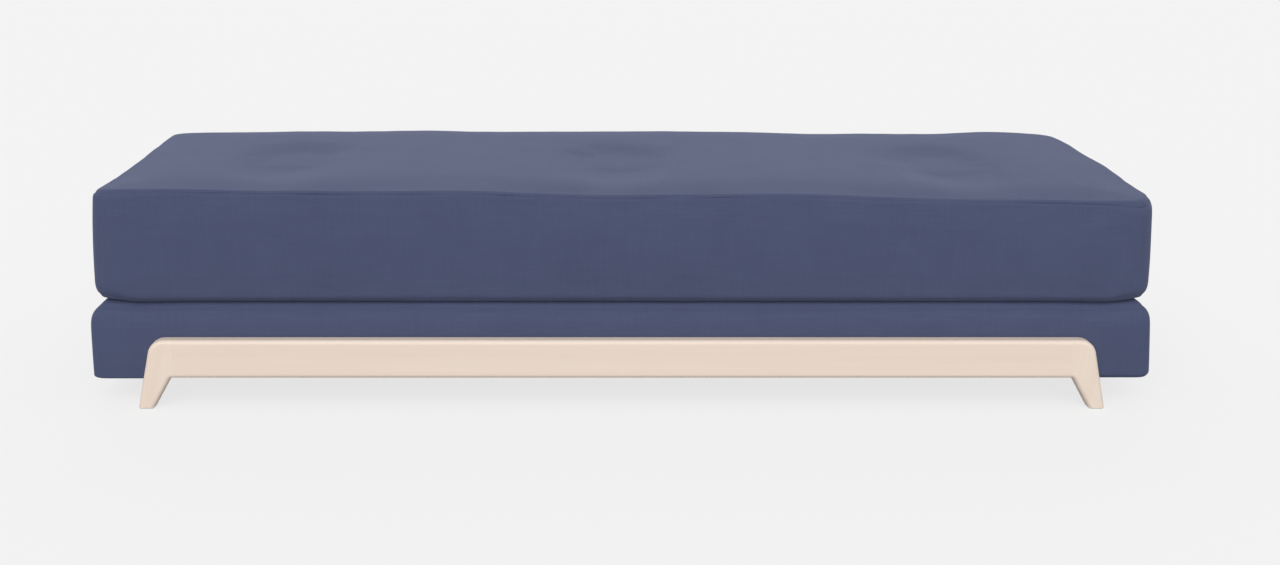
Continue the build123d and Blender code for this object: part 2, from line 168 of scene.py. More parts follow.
def wood(name, pale, dark, slope_deg=0.0):
    """Pale wood with its grain along X, or turned from X by a slope in the XZ plane."""
    material, shader, add, link = new_material(name)
    places = add("ShaderNodeTexCoord").outputs["Object"]
    turn = (0, math.radians(slope_deg), 0)
    turned = add("ShaderNodeMapping", {"Vector": places, "Rotation": turn}).outputs[0]
    rings = stretched(add, turned, RINGS, 3.0)
    streaks = stretched(add, turned, STREAKS, 3.0)
    pores = stretched(add, turned, PORES, 2.0)
    tone = total(add, (rings, 0.9), (streaks, 0.45), (pores, 0.25))
    spread = add("ShaderNodeMapRange", {"Value": tone, "From Min": 0.55, "From Max": 1.05})
    link(between(add, pale, dark, spread.outputs[0]), shader.inputs["Base Color"])
    height = total(add, (pores, 0.7), (streaks, 0.3))
    bump = add("ShaderNodeBump", {"Height": height, "Distance": PORE_DEPTH, "Strength": 0.35})
    link(bump.outputs[0], shader.inputs["Normal"])
    rough = add("ShaderNodeMapRange", {"Value": pores, "To Min": 0.42, "To Max": 0.6})
    link(rough.outputs[0], shader.inputs["Roughness"])
    return material


def plain(name, dark, light, roughness, rate, depth=0.05 * MM, metallic=0.0):
    """A material whose fine tone and surface change at a rate along each axis."""
    material, shader, add, link = new_material(name)
    places = add("ShaderNodeTexCoord").outputs["Object"]
    grain = stretched(add, places, rate, 4.0)
    spread = add("ShaderNodeMapRange", {"Value": grain, "From Min": 0.3, "From Max": 0.7})
    link(between(add, dark, light, spread.outputs[0]), shader.inputs["Base Color"])
    bump = add("ShaderNodeBump", {"Height": grain, "Distance": depth, "Strength": 0.5})
    link(bump.outputs[0], shader.inputs["Normal"])
    shader.inputs["Roughness"].default_value = roughness
    shader.inputs["Metallic"].default_value = metallic
    return material


upholstery = fabric("upholstery", FABRIC, FABRIC_LIGHT)
zip_cloth = plain("zip_cloth", (0.03, 0.036, 0.06), (0.045, 0.052, 0.085),
                  0.9, (900, 900, 200), 0.15 * MM)
zip_teeth = plain("zip_teeth", (0.035, 0.042, 0.075), (0.05, 0.058, 0.1), 0.4, (900, 900, 900))


# Curves of shape

def smooth(value):
    """Smoothstep of values that are clipped to 0..1."""
    value = np.clip(value, 0, 1)
    return value * value * (3 - 2 * value)


def ridge(value, centre, width):
    """A smooth ridge of height 1 round a centre."""
    return np.exp(-((value - centre) / width) ** 2)


def eased(shares, places, values):
    """Values at chosen places, joined by lines and softened at the joints."""
    shifts = (-0.06, -0.02, 0.02, 0.06)
    return np.mean([np.interp(shares + shift, places, values) for shift in shifts], axis=0)


def wave_noise(x, y, z, size, seed):
    """Smooth noise of about a given wavelength at each place."""
    offset = Vector((seed * 3.7, seed * 1.3, -seed * 2.1))
    x, y, z = np.broadcast_arrays(x, y, z)
    return np.array([noise.noise(Vector(place) / size + offset) for place in zip(x, y, z)])


# Each noise of the cloth's forms: its wavelength in metres and its seed
RIM_NOISE = (0.24, 1)
PUCKER_NOISE = (0.042, 2)
MATTRESS_NOISE = (0.16, 3)
SEAM_NOISE = (0.09, 5)
BASE_NOISE = (0.14, 6)
FLAP_NOISE = (0.05, 8)
FLAP_EDGE_NOISE = (0.12, 9)


# Padded forms: a box of cloth cells whose edges and corners are rounded, and which air then swells

MARGINS = [m * MM for m in (0, 1.4, 3.2, 5.0, 7.2, 9.8, 13, 17.5, 23.5, 31, 40)]
COARSE_MARGINS = [m * MM for m in (0, 6, 16, 30)]
FINE_STEP = 12 * MM
COARSE_STEP = 17 * MM
EDGE_EASE = 1.5
SWELL_PRESSURE = 4
SWELL_FRAMES = 20
HELD_LEAST = 0.01
RELAX_ROUNDS = 24


def graded(low, high, margins, step, extra=()):
    """Places from low to high, close together near both ends and even in the middle."""
    near = [low + margin for margin in margins]
    far = [high - margin for margin in reversed(margins)]
    count = max(1, round((far[0] - near[-1]) / step))
    middle = np.linspace(near[-1], far[0], count + 1)[1:-1]
    middle = [place for place in middle if all(abs(place - other) > step / 3 for other in extra)]
    return np.array(sorted([*near, *middle, *far, *extra]))


def box_cells(xs, ys, zs):
    """The corners and quads of a closed box with grid lines at the given places."""
    counts = (len(xs), len(ys), len(zs))
    index = {}
    corners = []

    def corner(i, j, k):
        key = (i, j, k)
        if key not in index:
            index[key] = len(corners)
            corners.append((xs[i], ys[j], zs[k]))
        return index[key]

    quads = []
    for axis in range(3):
        a, b = [other for other in range(3) if other != axis]
        for side in (0, counts[axis] - 1):
            for u in range(counts[a] - 1):
                for v in range(counts[b] - 1):
                    loop = []
                    for du, dv in ((0, 0), (1, 0), (1, 1), (0, 1)):
                        place = [0, 0, 0]
                        place[axis], place[a], place[b] = side, u + du, v + dv
                        loop.append(corner(*place))
                    outward = (side > 0) == (axis != 1)
                    quads.append(loop if outward else loop[::-1])
    return np.array(corners), np.array(quads)


def round_edges(points, half_x, half_y, bottom, top, top_round, bottom_round, corner_radius):
    """Round the long edges by ellipses (across, down), and the upright corners by a radius."""
    x, y, z = points.T.copy()
    inset = np.minimum(half_x - abs(x), half_y - abs(y))
    for drop, (across, down), sign, level in (
        (top - z, top_round, -1, top),
        (z - bottom, bottom_round, 1, bottom),
    ):
        a = np.clip(1 - inset / across, 0, 1)
        b = np.clip(1 - drop / down, 0, 1)
        edge = (a > 0) & (b > 0)
        reach_in = np.where(edge, np.hypot(a, b ** EDGE_EASE), 1)
        reach_down = np.where(edge, np.hypot(b, a ** EDGE_EASE), 1)
        new_inset = np.where(edge, across * (1 - a / reach_in), inset)
        new_z = np.where(edge, level + sign * down * (1 - b / reach_down), z)
        x = x * np.where(edge, (half_x - new_inset) / np.where(edge, half_x - inset, 1), 1)
        y = y * np.where(edge, (half_y - new_inset) / np.where(edge, half_y - inset, 1), 1)
        z = np.where(edge, new_z, z)
    out_x = abs(x) - (half_x - corner_radius)
    out_y = abs(y) - (half_y - corner_radius)
    corner = (out_x > 0) & (out_y > 0)
    square = np.maximum(out_x, out_y)
    ratio = np.where(corner, square / np.where(corner, np.hypot(out_x, out_y), 1), 1)
    x = np.where(corner, np.sign(x) * (half_x - corner_radius + out_x * ratio), x)
    y = np.where(corner, np.sign(y) * (half_y - corner_radius + out_y * ratio), y)
    return np.stack([x, y, z], axis=1)


def make_object(name, points, quads, material, smooth_faces=True):
    """A mesh object in the shared frame."""
    mesh = bpy.data.meshes.new(name)
    mesh.from_pydata(np.asarray(points).tolist(), [], np.asarray(quads).tolist())
    mesh.polygons.foreach_set("use_smooth", [smooth_faces] * len(mesh.polygons))
    mesh.materials.append(material)
    obj = bpy.data.objects.new(name, mesh)
    bpy.context.scene.collection.objects.link(obj)
    return obj


def make_cloth(name, points, quads):
    """A piece of upholstery that is shown smoothly, with each cell cut in four."""
    piece = make_object(name, points, quads, upholstery)
    modifier = piece.modifiers.new("smooth", "SUBSURF")
    modifier.levels = 1
    modifier.render_levels = 1
    return piece


def normals_of(points, quads):
    """The outward direction at each corner of a closed mesh of quads."""
    corners = points[quads]
    faces = np.cross(corners[:, 2] - corners[:, 0], corners[:, 3] - corners[:, 1])
    result = np.zeros_like(points)
    for column in range(4):
        np.add.at(result, quads[:, column], faces)
    return result / np.maximum(np.linalg.norm(result, axis=1, keepdims=True), 1e-12)


def relax(values, places, quads):
    """Smooth values on a mesh's corners by averaging each with its neighbours, near ones most."""
    starts = quads.ravel()
    ends = np.roll(quads, -1, axis=1).ravel()
    weight = 1 / np.linalg.norm(places[starts] - places[ends], axis=1)
    whole = np.bincount(starts, weight, len(values))[:, None]
    for _ in range(RELAX_ROUNDS):
        sums = [np.bincount(starts, weight * values[ends, axis], len(values)) for axis in range(3)]
        values = 0.5 * values + 0.5 * np.stack(sums, axis=1) / whole
    return values


def swell(points, quads, held, cap):
    """How far each corner of closed cloth moves when air swells it, outward and within a cap."""
    piece = make_object("cloth", points, quads, upholstery)
    group = piece.vertex_groups.new(name="held")
    for index in np.nonzero(held > HELD_LEAST)[0]:
        group.add([int(index)], float(held[index]), "REPLACE")
    cloth = piece.modifiers.new("swell", "CLOTH")
    settings = cloth.settings
    settings.quality = 4
    settings.mass = 0.3
    settings.tension_stiffness = 15
    settings.compression_stiffness = 15
    settings.shear_stiffness = 5
    settings.bending_stiffness = 0.5
    settings.use_pressure = True
    settings.uniform_pressure_force = SWELL_PRESSURE
    settings.vertex_group_mass = "held"
    settings.effector_weights.gravity = 0
    cloth.collision_settings.use_collision = False
    cloth.point_cache.frame_start = 1
    cloth.point_cache.frame_end = SWELL_FRAMES
    scene = bpy.context.scene
    for step in range(1, SWELL_FRAMES + 1):
        scene.frame_set(step)
    result = piece.evaluated_get(bpy.context.evaluated_depsgraph_get())
    flat = np.empty(len(points) * 3)
    result.data.vertices.foreach_get("co", flat)
    moved = flat.reshape(-1, 3) - points
    scene.frame_set(1)
    mesh = piece.data
    bpy.data.objects.remove(piece)
    bpy.data.meshes.remove(mesh)
    normals = normals_of(points, quads)
    outward = (moved * normals).sum(axis=1, keepdims=True)
    moved = moved + (np.maximum(outward, 0) - outward) * normals
    reach = np.linalg.norm(moved, axis=1, keepdims=True)
    return moved * cap / (cap + reach)


def spread_moves(coarse, moves, fine):
    """Moves of a coarse box's corners, carried over to a finer box's corners, face by face."""
    result = np.zeros_like(fine)
    for axis in range(3):
        a, b = [other for other in range(3) if other != axis]
        for level in (coarse[:, axis].min(), coarse[:, axis].max()):
            known = np.isclose(coarse[:, axis], level)
            wanted = np.isclose(fine[:, axis], level)
            sizes, spots, cells, shares = [], [], [], []
            for other in (a, b):
                line, spot = np.unique(coarse[known, other].round(7), return_inverse=True)
                cell = np.clip(np.searchsorted(line, fine[wanted, other]) - 1, 0, len(line) - 2)
                share = (fine[wanted, other] - line[cell]) / (line[cell + 1] - line[cell])
                sizes.append(len(line))
                spots.append(spot)
                cells.append(cell)
                shares.append(share[:, None])
            table = np.zeros((*sizes, 3))
            table[spots[0], spots[1]] = moves[known]
            (i, j), (u, v) = cells, shares
            result[wanted] = ((table[i, j] * (1 - u) + table[i + 1, j] * u) * (1 - v)
                              + (table[i, j + 1] * (1 - u) + table[i + 1, j + 1] * u) * v)
    return result


def swollen(sharp, quads, shape, hold, cap):
    """The padded form of a box's corners, swelled as air swells a coarser box."""
    points = shape(sharp)
    limits = zip(sharp.min(axis=0).tolist(), sharp.max(axis=0).tolist())
    coarse, coarse_quads = box_cells(
        *[graded(low, high, COARSE_MARGINS, COARSE_STEP) for low, high in limits])
    coarse_points = shape(coarse)
    moves = swell(coarse_points, coarse_quads, hold(coarse, coarse_points), cap)
    return points + relax(spread_moves(coarse, moves, sharp), sharp, quads)


# Mattress

cover_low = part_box("mattress_bottom_panel")[0]
cover_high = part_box("mattress_top_panel")[1]
tape_low, tape_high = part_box("zip_tape")
HALF_X = cover_high.x
HALF_Y = cover_high.y
MATTRESS_BOTTOM = cover_low.z
CROWN = 4 * MM
CROWN_RUN = 150 * MM
EDGE_TOP = cover_high.z - CROWN
TOP_FADE = 20 * MM
TOP_IN = 5 * MM
TOP_IN_POWER = 3
CORNER_RADIUS = 40 * MM
SIDE_DRAW = 5 * MM
SIDE_DRAW_RUN = 190 * MM
MATTRESS_SWELL = 9 * MM
MATTRESS_UNEVEN = 1.2 * MM

# Roundings of its upper edge: in front, towards the ends, and at the worn front right corner
FRONT_ROUND = 11 * MM
END_ROUND = 20 * MM
END_RUN = 150 * MM
WORN_ROUND = 40 * MM
WORN_RUN = 110 * MM

# Its foot: roundings across and down, and the sag and curl of its edge over the base
FOOT_ROUND = (20 * MM, 42 * MM)
FOOT_ROUND_FRONT = (22 * MM, 18 * MM)
FOOT_TURN = 90 * MM
FOOT_TURN_RUN = 70 * MM
FOOT_FLAT_IN = 27 * MM
FOOT_CLEARANCE = 0.2 * MM
FOOT_SAG = 4 * MM
SAG_REACH = 60 * MM
SAG_HEIGHT = 30 * MM
SAG_FULL = 12 * MM
SAG_FADE = 14 * MM
FOOT_CURL = 3 * MM
CURL_RUN = 35 * MM

# Tufts: a wide dish round each, and a soft fold across its near side
TUFT_XS = (-2 * HALF_X / 3, 0.0, 2 * HALF_X / 3)
TUFT_REACH = (135 * MM, 200 * MM)
TUFT_NEAR_REACH = 430 * MM
TUFT_RIPPLE = 0.12
RIPPLE_CIRCLE = 1.3
RIPPLE_LENGTH, RIPPLE_SEED = 0.55, 4
TUFT_FLOOR_SHARE = 0.35
TUFT_DEPTH = 7 * MM
FOLD_Y = -130 * MM
FOLD_DEPTH = 3.2 * MM
FOLD_BOW = 14 * MM
BOW_LENGTH, BOW_SEED = 0.11, 11
FOLD_FAR, FOLD_NEAR = 36 * MM, 230 * MM
FOLD_HALF = 130 * MM

# Seams, with the puckers beside them
SEAM_DROP = 3.2 * MM
LOWER_SEAM_IN = 7 * MM
LOWER_SEAM_SHARE = 0.5
SEAM_DEPTH = 3.4 * MM
SEAM_WIDTH = 1.4 * MM
SEAM_HELD = 4 * MM
SEAM_PUFF = 0.7 * MM
PUCKER = 1.2 * MM
PUCKER_WIDTH = 13 * MM

# How the mattress lies in the photograph: its top is a little higher at the left end
LIFT_SHARES = (-1, -0.75, -0.5, -0.25, 0, 0.25, 0.5, 0.7, 0.87, 1)
FRONT_LIFT = [m * MM for m in (16, 15, 13, 8, 6, 6, 2, -4, -8, -12)]
BACK_LIFT = [m * MM for m in (1, 7, 8, 8, 7, 6, 1, 1, 5, -3)]
BACK_POWER = 0.6
LIFT_POWER = 1.5
RIM_WAVE = 5 * MM
RIM_WAVE_RUN = 60 * MM
LEAN_SHARES = (-1, -0.8, 0, 0.6, 1)
LEFT_LEAN = [m * MM for m in (13, 6, -6, -14, -15)]
RIGHT_LEAN = [m * MM for m in (20, -12, -33, -35, -22)]
LEAN_AT_FOOT = 0.3
LEAN_POWER = 1.4
LEAN_RUN = 200 * MM

# Zip at the rear, in a narrow window of the border
ZIP_Z = (tape_low.z + tape_high.z) / 2
ZIP_HALF = tape_high.x
ZIP_WINDOW = 6 * MM
ZIP_LIP = 1.5 * MM
ZIP_LINES = [ZIP_Z + side * place for side in (-1, 1)
             for place in (ZIP_WINDOW, ZIP_WINDOW + ZIP_LIP)]
ZIP_ENDS = [side * place for side in (-1, 1) for place in (ZIP_HALF - ZIP_LIP, ZIP_HALF)]
ZIP_HELD = (20 * MM, 18 * MM)
ZIP_DENT = 22 * MM
ZIP_DENT_PAST = 25 * MM
ZIP_DENT_RUN = 20 * MM
ZIP_BACKING = 0.3 * MM


def inset_of(sharp):
    """How far inside the box's outline each corner is."""
    return np.minimum(HALF_X - abs(sharp[:, 0]), HALF_Y - abs(sharp[:, 1]))


def tuft_dish(x, y):
    """How deep the tufts draw the top down, as a share of their depth."""
    deep = np.zeros_like(x)
    for number, centre in enumerate(TUFT_XS):
        turn = np.arctan2(y, x - centre)
        circle = RIPPLE_CIRCLE * np.cos(turn), RIPPLE_CIRCLE * np.sin(turn)
        ripple = wave_noise(*circle, 0, RIPPLE_LENGTH, number + RIPPLE_SEED)
        reach = np.where(y < 0, TUFT_NEAR_REACH, TUFT_REACH[1])
        share = np.hypot((x - centre) / TUFT_REACH[0], y / reach) / (1 + TUFT_RIPPLE * ripple)
        rise = smooth((share - TUFT_FLOOR_SHARE) / (1 - TUFT_FLOOR_SHARE))
        deep = np.maximum(deep, 1 - rise)
    return deep


def tuft_folds(x, y):
    """A soft fold across the near side of each tuft, where the cover is drawn in."""
    line = np.zeros_like(x)
    for number, centre in enumerate(TUFT_XS):
        bow = FOLD_BOW * wave_noise(x, 0, 0, BOW_LENGTH, number + BOW_SEED)
        across = y - FOLD_Y - bow
        profile = ridge(across, 0, np.where(across > 0, FOLD_FAR, FOLD_NEAR))
        line = np.maximum(line, profile * (1 - smooth(abs(x - centre) / FOLD_HALF)))
    return line


def mattress_shape(sharp):
    """The padded form of a box's corners, before air and seams."""
    near_end = smooth((abs(sharp[:, 0]) - (HALF_X - END_RUN)) / END_RUN)
    worn = smooth((sharp[:, 0] - sharp[:, 1] - HALF_X - HALF_Y + WORN_RUN) / WORN_RUN)
    edge_round = (FRONT_ROUND + (END_ROUND - FRONT_ROUND) * near_end
                  + (WORN_ROUND - END_ROUND) * worn)
    at_end = smooth((abs(sharp[:, 0]) - (HALF_X - FOOT_TURN)) / FOOT_TURN_RUN)
    foot_round = [front + (end - front) * at_end
                  for front, end in zip(FOOT_ROUND_FRONT, FOOT_ROUND)]
    points = round_edges(sharp, HALF_X, HALF_Y, MATTRESS_BOTTOM, EDGE_TOP,
                         (edge_round, edge_round), foot_round, CORNER_RADIUS)
    x, y, z = points.T
    y = y * (1 - SIDE_DRAW / HALF_Y * smooth((HALF_X - CORNER_RADIUS - abs(x)) / SIDE_DRAW_RUN))
    x = x * (1 - SIDE_DRAW / HALF_X * smooth((HALF_Y - CORNER_RADIUS - abs(y)) / SIDE_DRAW_RUN))
    inset = inset_of(sharp)
    high = np.clip((z - MATTRESS_BOTTOM) / (EDGE_TOP - MATTRESS_BOTTOM), 0, 1)
    y = y * (1 - TOP_IN / HALF_Y * np.maximum(2 * high - 1, 0) ** TOP_IN_POWER)
    on_top = smooth((z - (EDGE_TOP - TOP_FADE)) / TOP_FADE)
    on_foot = np.isclose(sharp[:, 2], MATTRESS_BOTTOM)
    lift = eased(x / HALF_X, LIFT_SHARES, FRONT_LIFT)
    back = eased(x / HALF_X, LIFT_SHARES, BACK_LIFT)
    lift = lift + (back - lift) * np.clip((y + HALF_Y) / (2 * HALF_Y), 0, 1) ** BACK_POWER
    lift = lift + RIM_WAVE * wave_noise(x, y, 0, *RIM_NOISE) * ridge(inset, 0, RIM_WAVE_RUN)
    left, right = [eased(y / HALF_Y, LEAN_SHARES, lean) for lean in (LEFT_LEAN, RIGHT_LEAN)]
    grown = LEAN_AT_FOOT + (1 - LEAN_AT_FOOT) * high ** LEAN_POWER
    lean = np.where(x < 0, left, right) * grown * smooth(1 - (HALF_X - abs(x)) / LEAN_RUN)
    x = x - np.sign(x) * lean
    z = z + lift * high ** LIFT_POWER + CROWN * on_top * smooth(inset / CROWN_RUN)
    z = z - on_top * (TUFT_DEPTH * tuft_dish(x, y) + FOLD_DEPTH * tuft_folds(x, y))
    long_side = (abs(sharp[:, 1]) > HALF_Y - SAG_REACH) * (1 - at_end)
    low = 1 - smooth((z - MATTRESS_BOTTOM) / SAG_HEIGHT)
    z = z - FOOT_SAG * long_side * low * (1 - smooth((inset - SAG_FULL) / SAG_FADE))
    curl = on_foot * (1 - long_side) * (1 - smooth((inset - FOOT_ROUND[0]) / CURL_RUN))
    return np.stack([x, y, z + FOOT_CURL * curl], axis=1)


def zip_window(sharp):
    """Whether each corner is where the border opens over the zip."""
    rear = sharp[:, 1] > HALF_Y - TINY
    across = abs(sharp[:, 2] - ZIP_Z) < ZIP_WINDOW + TINY
    return rear & across & (abs(sharp[:, 0]) < ZIP_HALF - ZIP_LIP / 2)


def mattress_hold(sharp, points):
    """Where the cover can't swell: at its seams, below, round the zip and at the tufts."""
    side = inset_of(sharp) < TINY
    seams = [side * ridge(sharp[:, 2], level, SEAM_HELD) for level in (EDGE_TOP, MATTRESS_BOTTOM)]
    foot = 1.0 * np.isclose(sharp[:, 2], MATTRESS_BOTTOM)
    rear = (sharp[:, 1] > HALF_Y - TINY) & (abs(sharp[:, 0]) < ZIP_HALF + ZIP_HELD[0])
    zipper = 1.0 * (rear & (abs(sharp[:, 2] - ZIP_Z) < ZIP_HELD[1]))
    tufts = np.isclose(sharp[:, 2], EDGE_TOP) * tuft_dish(points[:, 0], points[:, 1]) ** 2
    return np.maximum.reduce([*seams, foot, zipper, tufts])


def seam_lines(sharp):
    """How far the top and bottom seams draw the cover in, with the puckers beside them."""
    inset = inset_of(sharp)
    side = inset < TINY
    down = np.where(side, EDGE_TOP - sharp[:, 2], -inset)
    up = np.where(side, sharp[:, 2] - MATTRESS_BOTTOM, -inset) + LOWER_SEAM_IN + SEAM_DROP
    down = np.where(np.isclose(sharp[:, 2], MATTRESS_BOTTOM), 1, down)
    up = np.where(np.isclose(sharp[:, 2], EDGE_TOP), 1, up)
    pucker = wave_noise(sharp[:, 0], sharp[:, 1], 0, *PUCKER_NOISE)
    tight = 1 + wave_noise(sharp[:, 0], sharp[:, 1], 0, *SEAM_NOISE)
    drawn = np.zeros(len(sharp))
    for place, share in ((down, 1.0), (up, LOWER_SEAM_SHARE)):
        drawn -= share * SEAM_DEPTH * tight * ridge(place, SEAM_DROP, SEAM_WIDTH)
        drawn += share * (SEAM_PUFF + PUCKER * pucker) * ridge(place, SEAM_DROP, PUCKER_WIDTH)
    return drawn


def make_mattress():
    """The mattress in its cover: one swollen form with its seams, tufts and zip window."""
    sharp, quads = box_cells(
        graded(-HALF_X, HALF_X, MARGINS, FINE_STEP, ZIP_ENDS),
        graded(-HALF_Y, HALF_Y, MARGINS, FINE_STEP),
        graded(MATTRESS_BOTTOM, EDGE_TOP, MARGINS, FINE_STEP, ZIP_LINES),
    )
    points = swollen(sharp, quads, mattress_shape, mattress_hold, MATTRESS_SWELL)
    inset = inset_of(sharp)
    uneven = MATTRESS_UNEVEN * wave_noise(*sharp.T, *MATTRESS_NOISE) * (inset < TINY)
    points = points + normals_of(points, quads) * (seam_lines(sharp) + uneven)[:, None]
    dent = ridge(sharp[:, 2], ZIP_Z, ZIP_DENT) * (sharp[:, 1] > HALF_Y - TINY)
    dent = dent * smooth((ZIP_HALF + ZIP_DENT_PAST - abs(sharp[:, 0])) / ZIP_DENT_RUN)
    points[:, 1] += (tape_high.y - points[:, 1]) * dent
    points[zip_window(sharp), 1] = tape_low.y - ZIP_BACKING
    inner = np.isclose(sharp[:, 2], MATTRESS_BOTTOM) & (inset > FOOT_FLAT_IN)
    lowest = MATTRESS_BOTTOM + np.where(inner, FOOT_CLEARANCE, -FOOT_SAG)
    points[:, 2] = np.maximum(points[:, 2], lowest)
    return make_cloth("mattress", points, quads)


mattress = make_mattress()
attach(mattress, "mattress")
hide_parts("mattress_top_panel", "mattress_border", "mattress_bottom_panel",
            "comfort_layer", "mattress_core", "lower_layer")


# Base

base_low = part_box("base_border")[0]
base_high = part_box("base_top_panel")[1]
flap_low, flap_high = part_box("fold_flap")
rail_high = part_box("front_rail")[1]
leg_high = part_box("front_legs")[1]
BASE_BOTTOM = base_low.z
BASE_TOP = base_high.z
BASE_CORNER = 28 * MM
BASE_SWELL = 6 * MM
BASE_UNEVEN = 1 * MM
BASE_SEAM_IN = 20 * MM
BASE_SEAM_WIDTH = 1.4 * SEAM_WIDTH

# Roundings of its upper edge, across and down, and of its lower edge
BASE_EDGE = (46 * MM, 52 * MM)
BASE_EDGE_FRONT = (48 * MM, 58 * MM)
BASE_TURN = 110 * MM
BASE_TURN_RUN = 80 * MM
LEFT_FOOT_ROUND = 4 * MM
RIGHT_FOOT_ROUND = 13 * MM

# How far its left and right ends flare out, and the hang of its rim beyond the legs
BASE_FLARE = (6 * MM, 9 * MM)
LEFT_FLARE_SHARE = 0.35
FLARE_REACH = 70 * MM
FLARE_RUN = 60 * MM
BASE_RIM_DROP = 5 * MM
RIM_FULL = 12 * MM
RIM_FADE = 16 * MM
RIM_HEIGHT = 40 * MM
LEG_REACH = 58 * MM
LEG_FADE = 40 * MM

# Where it can't swell, the rails that press on it, and the flap's recess
TOP_HELD = 30 * MM
TOP_HELD_FADE = 12 * MM
RAIL_FADE = 14 * MM
RAIL_GAP = 0.2 * MM
RAIL_LEAST = 0.2
RECESS_GAP = 0.3 * MM
RECESS_EDGE = 4 * MM
RECESS_FLOOR = flap_low.z - RECESS_GAP
RECESS_BACK = flap_high.y + RECESS_GAP
RECESS_HALF = flap_high.x + RECESS_GAP


def base_shape(sharp):
    """The padded form of the base, before air and seams."""
    foot_round = np.where(sharp[:, 0] < 0, LEFT_FOOT_ROUND, RIGHT_FOOT_ROUND)
    at_end = smooth((abs(sharp[:, 0]) - (HALF_X - BASE_TURN)) / BASE_TURN_RUN)
    edge = [front + (end - front) * at_end for front, end in zip(BASE_EDGE_FRONT, BASE_EDGE)]
    points = round_edges(sharp, HALF_X, HALF_Y, BASE_BOTTOM, BASE_TOP,
                         edge, (foot_round, foot_round), BASE_CORNER)
    x, y, z = points.T
    down = np.clip((BASE_TOP - z) / (BASE_TOP - BASE_BOTTOM), 0, 1)
    flare = np.where(x < 0, BASE_FLARE[0] * smooth(down / LEFT_FLARE_SHARE), BASE_FLARE[1] * down)
    x = x + np.sign(x) * flare * smooth((abs(x) - HALF_X + FLARE_REACH) / FLARE_RUN)
    rim = 1 - smooth((inset_of(sharp) - RIM_FULL) / RIM_FADE)
    outside_legs = smooth((abs(x) - leg_high.x + LEG_REACH) / LEG_FADE)
    low = 1 - smooth((z - BASE_BOTTOM) / RIM_HEIGHT)
    z = z - BASE_RIM_DROP * rim * outside_legs * low
    in_recess = (smooth((RECESS_HALF - abs(x)) / RECESS_EDGE + 1)
                 * smooth((RECESS_BACK - y) / RECESS_EDGE + 1))
    z = np.where(z > RECESS_FLOOR, z + (RECESS_FLOOR - z) * in_recess, z)
    return np.stack([x, y, z], axis=1)


def behind_rail(points):
    """1 where a rail presses on the base's cover, and 0 well above it and beyond it."""
    above = smooth((points[:, 2] - rail_high.z) / RAIL_FADE)
    beyond = smooth((abs(points[:, 0]) - leg_high.x) / RAIL_FADE)
    return (1 - above) * (1 - beyond)


def base_hold(sharp, points):
    """Where the base's cover can't swell: above, below and behind the rails."""
    flat = np.isclose(sharp[:, 2], BASE_TOP) | np.isclose(sharp[:, 2], BASE_BOTTOM)
    faces_rail = (abs(sharp[:, 1]) > HALF_Y - TINY) * behind_rail(points)
    upper_edge = smooth((sharp[:, 2] - BASE_TOP + TOP_HELD) / TOP_HELD_FADE)
    return np.maximum.reduce([1.0 * flat, faces_rail, upper_edge])


def make_base():
    """The upholstered base: one form, soft at its upper edges, with the flap's recess in front."""
    sharp, quads = box_cells(
        graded(-HALF_X, HALF_X, MARGINS, FINE_STEP, (-RECESS_HALF, RECESS_HALF)),
        graded(-HALF_Y, HALF_Y, MARGINS, FINE_STEP, (RECESS_BACK,)),
        graded(BASE_BOTTOM, BASE_TOP, MARGINS, FINE_STEP),
    )
    points = swollen(sharp, quads, base_shape, base_hold, BASE_SWELL)
    inset = inset_of(sharp)
    seam = ridge(inset, BASE_SEAM_IN, BASE_SEAM_WIDTH) * np.isclose(sharp[:, 2], BASE_TOP)
    uneven = BASE_UNEVEN * wave_noise(*sharp.T, *BASE_NOISE) * (inset < TINY)
    uneven = uneven * (1 - behind_rail(points))
    points = points + normals_of(points, quads) * (uneven - SEAM_DEPTH * seam)[:, None]
    furthest = np.where(behind_rail(points) > RAIL_LEAST, HALF_Y - RAIL_GAP, np.inf)
    points[:, 1] = np.clip(points[:, 1], -furthest, furthest)
    points[:, 2] = np.minimum(points[:, 2], BASE_TOP)
    return make_cloth("base_cover", points, quads)


base = make_base()
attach(base, "base")
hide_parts("base_top_panel", "base_border", "base_foam", "side_wadding")


# Fold flap: a hemmed strip of the same cloth

FLAP_COLUMNS = 131
FLAP_ROWS = 6
FLAP_INNER = 15 * MM
HEM = 7 * MM
HEM_STEP = 0.25 * MM
STITCH_PAST_HEM = 1.2 * MM
STITCH_WIDTH = 0.8 * MM
FLAP_WAVE = 0.12 * MM
FLAP_NARROWING = 0.006


